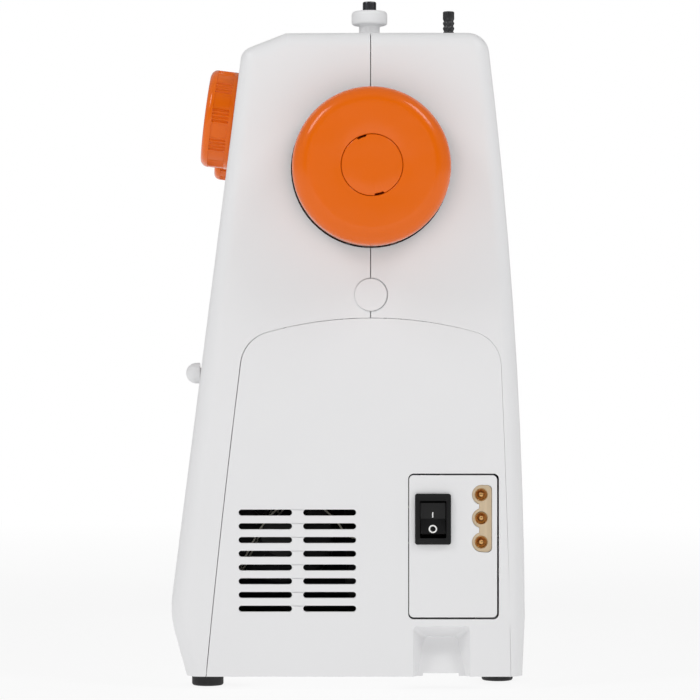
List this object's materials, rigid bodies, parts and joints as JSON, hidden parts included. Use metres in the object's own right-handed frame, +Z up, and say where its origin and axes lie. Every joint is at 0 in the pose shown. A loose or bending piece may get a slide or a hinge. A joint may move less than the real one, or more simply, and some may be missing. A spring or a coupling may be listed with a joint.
{
  "type": "sewing machine",
  "caption": "Domestic free-arm sewing machine with an orange handwheel, stitch dials, an arched end panel with vents, and a mains inlet with a rocker switch.",
  "frame": {"origin": "middle of the object's box, on the surface it stands on", "axes": "+X towards the handwheel along the machine, +Y away from the operator, +Z up"},
  "size_m": [0.384, 0.1474, 0.2879],
  "materials": {
    "body_white": "satin white ABS",
    "dial_orange": "glossy orange plastic",
    "black_plastic": "fine matt black",
    "socket_beige": "matt beige",
    "brass": "turned brass",
    "rubber": "matt black rubber",
    "belt_rubber": "moulded rubber",
    "clear_plastic": "clear acrylic",
    "steel": "ground steel",
    "dark_steel": "blackened steel",
    "plate_steel": "polished plate",
    "casting": "dark grey painted die casting",
    "bronze": "sintered bronze",
    "nylon": "black nylon",
    "motor_can": "black enamel"
  },
  "bodies": {
    "machine": {"front_cover": "body_white", "rear_cover": "body_white", "face_cover": "body_white", "end_panel": "body_white", "seam_plug": "body_white", "base_plate": "body_white", "rubber_feet": "rubber", "free_arm_cover": "body_white", "needle_plate": "plate_steel", "winder_stopper": "body_white", "socket_plate": "body_white", "socket_insert": "socket_beige", "socket_pins": "brass", "switch_bezel": "black_plastic", "main_frame": "casting", "shaft_bushings": "bronze", "drive_belts": "belt_rubber", "motor": "motor_can", "bobbin_case": "black_plastic", "screws": "dark_steel", "thread_fittings": "plate_steel", "lamp": "clear_plastic"},
    "shaft": {"main_shaft": "steel", "handwheel": "dial_orange", "shaft_wheels": "nylon", "needle_crank": "steel"},
    "clutch": {"clutch_knob": "dial_orange"},
    "lower_drive": {"lower_shaft": "steel", "lower_wheels": "nylon"},
    "hook": {"rotary_hook": "steel"},
    "bobbin_body": {"bobbin": "clear_plastic"},
    "motor_rotor": {"motor_pulley": "nylon"},
    "rod": {"connecting_rod": "casting"},
    "gate": {"needle_bar_gate": "casting"},
    "needle_unit": {"needle_bar": "steel", "needle_clamp": "steel", "needle": "plate_steel"},
    "take_up": {"take_up_lever": "plate_steel"},
    "presser": {"presser_bar": "steel", "presser_spring": "steel", "foot_holder": "steel"},
    "foot": {"presser_foot": "plate_steel"},
    "lifter": {"presser_lifter": "body_white"},
    "feed_carrier": {"feed_bar": "casting"},
    "feed": {"feed_dog": "steel"},
    "cams": {"cam_stack": "nylon"},
    "selector": {"stitch_selector_dial": "dial_orange"},
    "length": {"stitch_length_dial": "dial_orange"},
    "tension": {"tension_dial": "dial_orange"},
    "reverse": {"reverse_lever": "body_white"},
    "winder_carrier": {"winder_arm": "nylon"},
    "winder": {"winder_spindle": "dark_steel", "winder_seat": "body_white"},
    "spool": {"spool_pin": "dark_steel"},
    "rocker": {"power_rocker": "black_plastic"},
    "handle": {"carry_handle": "body_white"},
    "bobbin_lid": {"bobbin_cover": "clear_plastic"},
    "latch": {"bobbin_latch": "body_white"},
    "box": {"accessory_box": "body_white"},
    "box_lid": {"accessory_lid": "body_white"}
  },
  "joints": [
    {"name": "handwheel_turn", "type": "hinge", "parent": "machine", "child": "shaft", "pos_m": [0, 0.0092, 0.2165], "axis": [1, 0, 0], "continuous": true},
    {"name": "clutch_turn", "type": "hinge", "parent": "shaft", "child": "clutch", "pos_m": [0.185, 0.0092, 0.2165], "axis": [1, 0, 0], "range_deg": [0, 60]},
    {"name": "lower_shaft_turn", "type": "hinge", "parent": "machine", "child": "lower_drive", "pos_m": [0, 0.014, 0.04], "axis": [1, 0, 0], "continuous": true},
    {"name": "hook_turn", "type": "hinge", "parent": "machine", "child": "hook", "pos_m": [-0.138, -0.0085, 0.05], "axis": [0, 0, 1], "continuous": true},
    {"name": "bobbin_turn", "type": "hinge", "parent": "machine", "child": "bobbin_body", "pos_m": [-0.138, -0.0085, 0.06], "axis": [0, 0, 1], "continuous": true},
    {"name": "motor_turn", "type": "hinge", "parent": "machine", "child": "motor_rotor", "pos_m": [0.1, -0.028, 0.062], "axis": [1, 0, 0], "continuous": true},
    {"name": "rod_turn", "type": "hinge", "parent": "shaft", "child": "rod", "pos_m": [-0.128, 0.0092, 0.232], "axis": [1, 0, 0], "continuous": true},
    {"name": "gate_swing", "type": "hinge", "parent": "machine", "child": "gate", "pos_m": [-0.138, 0, 0.256], "axis": [0, 1, 0], "range_deg": [-1, 1]},
    {"name": "needle_stroke", "type": "slide", "parent": "gate", "child": "needle_unit", "axis": [0, 0, -1], "range_m": [0, 0.031]},
    {"name": "take_up_swing", "type": "hinge", "parent": "machine", "child": "take_up", "pos_m": [-0.114, -0.012, 0.205], "axis": [1, 0, 0], "range_deg": [0, 45]},
    {"name": "lifter_turn", "type": "hinge", "parent": "machine", "child": "lifter", "pos_m": [-0.146, 0.04, 0.152], "axis": [-1, 0, 0], "range_deg": [0, 55.01]},
    {"name": "presser_slide", "type": "slide", "parent": "machine", "child": "presser", "axis": [0, 0, -1], "range_m": [0, 0.005], "deforming": ["presser_spring"]},
    {"name": "foot_tilt", "type": "hinge", "parent": "presser", "child": "foot", "pos_m": [-0.138, 0.019, 0.0878], "axis": [1, 0, 0], "range_deg": [-5, 5]},
    {"name": "feed_travel", "type": "slide", "parent": "machine", "child": "feed_carrier", "axis": [0, 1, 0], "range_m": [-0.002, 0.002]},
    {"name": "feed_lift", "type": "slide", "parent": "feed_carrier", "child": "feed", "axis": [0, 0, 1], "range_m": [0, 0.0016]},
    {"name": "cam_turn", "type": "hinge", "parent": "machine", "child": "cams", "pos_m": [0.02, -0.022, 0.215], "axis": [0, 0, 1], "continuous": true},
    {"name": "selector_turn", "type": "hinge", "parent": "machine", "child": "selector", "pos_m": [0.116, -0.04772, 0.24], "axis": [0, -0.9919, 0.1266], "continuous": true},
    {"name": "length_turn", "type": "hinge", "parent": "machine", "child": "length", "pos_m": [0.066, -0.04887, 0.231], "axis": [0, -0.9919, 0.1266], "range_deg": [-135, 135]},
    {"name": "tension_turn", "type": "hinge", "parent": "machine", "child": "tension", "pos_m": [-0.08, -0.0346, 0.24], "axis": [1, 0, 0], "range_deg": [-150, 150]},
    {"name": "reverse_press", "type": "hinge", "parent": "machine", "child": "reverse", "pos_m": [0.108, -0.036, 0.131], "axis": [1, 0, 0], "range_deg": [0, 7], "stiffness_Nm_per_rad": 0.6, "springref_deg": -8.59},
    {"name": "winder_engage", "type": "slide", "parent": "machine", "child": "winder_carrier", "axis": [-1, 0, 0], "range_m": [0, 0.005]},
    {"name": "winder_turn", "type": "hinge", "parent": "winder_carrier", "child": "winder", "pos_m": [0.148, 0.0092, 0.27], "axis": [0, 0, 1], "continuous": true},
    {"name": "spool_pin_pull", "type": "slide", "parent": "machine", "child": "spool", "axis": [0, 0, 1], "range_m": [0, 0.04]},
    {"name": "rocker_tilt", "type": "hinge", "parent": "machine", "child": "rocker", "pos_m": [0.1652, 0.035, 0.07075], "axis": [0, 1, 0], "range_deg": [0, 18]},
    {"name": "handle_lift", "type": "hinge", "parent": "machine", "child": "handle", "pos_m": [0, 0.043, 0.264], "axis": [-1, 0, 0], "range_deg": [0, 95]},
    {"name": "bobbin_lid_open", "type": "hinge", "parent": "machine", "child": "bobbin_lid", "pos_m": [-0.1133, -0.014, 0.075], "axis": [0, 1, 0], "range_deg": [0, 70]},
    {"name": "latch_slide", "type": "slide", "parent": "machine", "child": "latch", "axis": [1, 0, 0], "range_m": [0, 0.004], "stiffness_N_per_m": 60, "springref_m": -0.002},
    {"name": "box_slide", "type": "slide", "parent": "machine", "child": "box", "axis": [-1, 0, 0], "range_m": [0, 0.2]},
    {"name": "box_lid_open", "type": "hinge", "parent": "box", "child": "box_lid", "pos_m": [0, -0.0604, 0.0746], "axis": [1, 0, 0], "range_deg": [0, 100]}
  ],
  "couplings": [
    {"joint": "lower_shaft_turn", "follows": "handwheel_turn", "ratio": 1},
    {"joint": "hook_turn", "follows": "handwheel_turn", "ratio": 2},
    {"joint": "motor_turn", "follows": "handwheel_turn", "ratio": 4},
    {"joint": "rod_turn", "follows": "handwheel_turn", "ratio": -1},
    {"joint": "cam_turn", "follows": "handwheel_turn", "ratio": -0.055556},
    {"joint": "take_up_swing", "follows": "needle_stroke", "rad_per_m": 25.3},
    {"joint": "lifter_turn", "follows": "presser_slide", "rad_per_m": 192}
  ]
}
